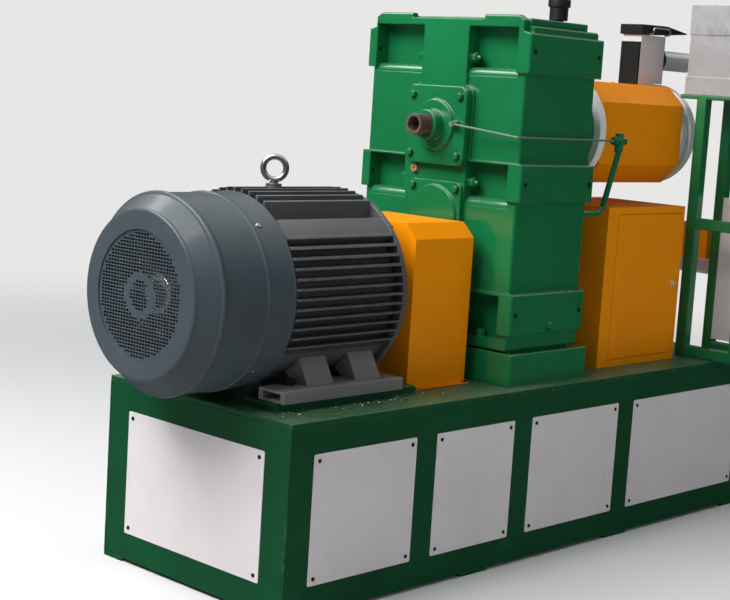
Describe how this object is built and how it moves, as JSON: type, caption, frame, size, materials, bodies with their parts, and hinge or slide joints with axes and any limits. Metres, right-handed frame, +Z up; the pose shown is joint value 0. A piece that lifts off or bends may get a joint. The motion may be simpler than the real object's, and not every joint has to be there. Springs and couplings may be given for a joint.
{
  "type": "plastic extruder",
  "caption": "Single-screw plastic extruder with flanged motor, guarded coupling, tall gearbox, guarded barrel, vent, hopper stand and cabinet on one welded base",
  "frame": {"origin": "centre of the part's bounding box at floor level", "axes": "+X from the motor towards the barrel's outlet, +Y away from the operator's side, +Z up"},
  "size_m": [2.936, 1.008, 2.072],
  "materials": {
    "green_enamel": "gloss",
    "orange_enamel": "gloss",
    "grey_enamel": "satin",
    "white_enamel": "satin",
    "black_enamel": "satin",
    "bare_steel": "brushed",
    "rusty_steel": "rough",
    "polished_steel": "polished",
    "stainless": "brushed",
    "copper": "satin",
    "black_plastic": "matte"
  },
  "bodies": {
    "machine": {"base_top": "green_enamel", "side_walls": "green_enamel", "end_walls": "green_enamel", "base_pads": "green_enamel", "end_panels": "white_enamel", "front_panels": "white_enamel", "rear_panels": "white_enamel", "motor_rails": "green_enamel", "motor_feet": "grey_enamel", "motor_body": "grey_enamel", "drive_end_shield": "grey_enamel", "fan_end_shield": "grey_enamel", "fan_cowl": "grey_enamel", "fan_grille": "grey_enamel", "eye_bolt": "bare_steel", "coupling_guard": "orange_enamel", "gearbox_foot": "green_enamel", "gearbox_housing": "green_enamel", "gearbox_top_cover": "green_enamel", "breather": "black_plastic", "upper_bearing_cover": "green_enamel", "middle_bearing_cover": "green_enamel", "oil_pipe": "bare_steel", "oil_elbow": "green_enamel", "return_pipe": "green_enamel", "level_plug": "copper", "thrust_housing": "green_enamel", "flange_ring": "white_enamel", "barrel": "bare_steel", "barrel_guard": "orange_enamel", "outlet_flange": "bare_steel", "vent_chamber": "white_enamel", "vent_side_plate": "black_enamel", "vent_lid": "black_enamel", "vent_pipe": "polished_steel", "cabinet": "orange_enamel", "stand_frame": "green_enamel", "stand_panel": "white_enamel", "feed_hopper": "stainless", "box_bracket": "white_enamel", "terminal_box": "orange_enamel"},
    "rotor": {"cooling_fan": "black_plastic", "motor_shaft": "bare_steel"},
    "screw": {"screw_shaft": "rusty_steel"},
    "door": {"cabinet_door": "orange_enamel", "door_lock": "polished_steel"}
  },
  "joints": [
    {"name": "motor_spin", "type": "hinge", "parent": "machine", "child": "rotor", "pos_m": [-1.215, 0.051, 0.978], "axis": [1, 0, 0], "continuous": true},
    {"name": "screw_spin", "type": "hinge", "parent": "machine", "child": "screw", "pos_m": [-0.118, 0.051, 1.537], "axis": [1, 0, 0], "continuous": true},
    {"name": "door_hinge", "type": "hinge", "parent": "machine", "child": "door", "pos_m": [0.621, -0.251, 0.945], "axis": [0, 0, -1], "range_deg": [0, 105]}
  ],
  "couplings": [
    {"joint": "screw_spin", "follows": "motor_spin", "ratio": 0.08}
  ]
}
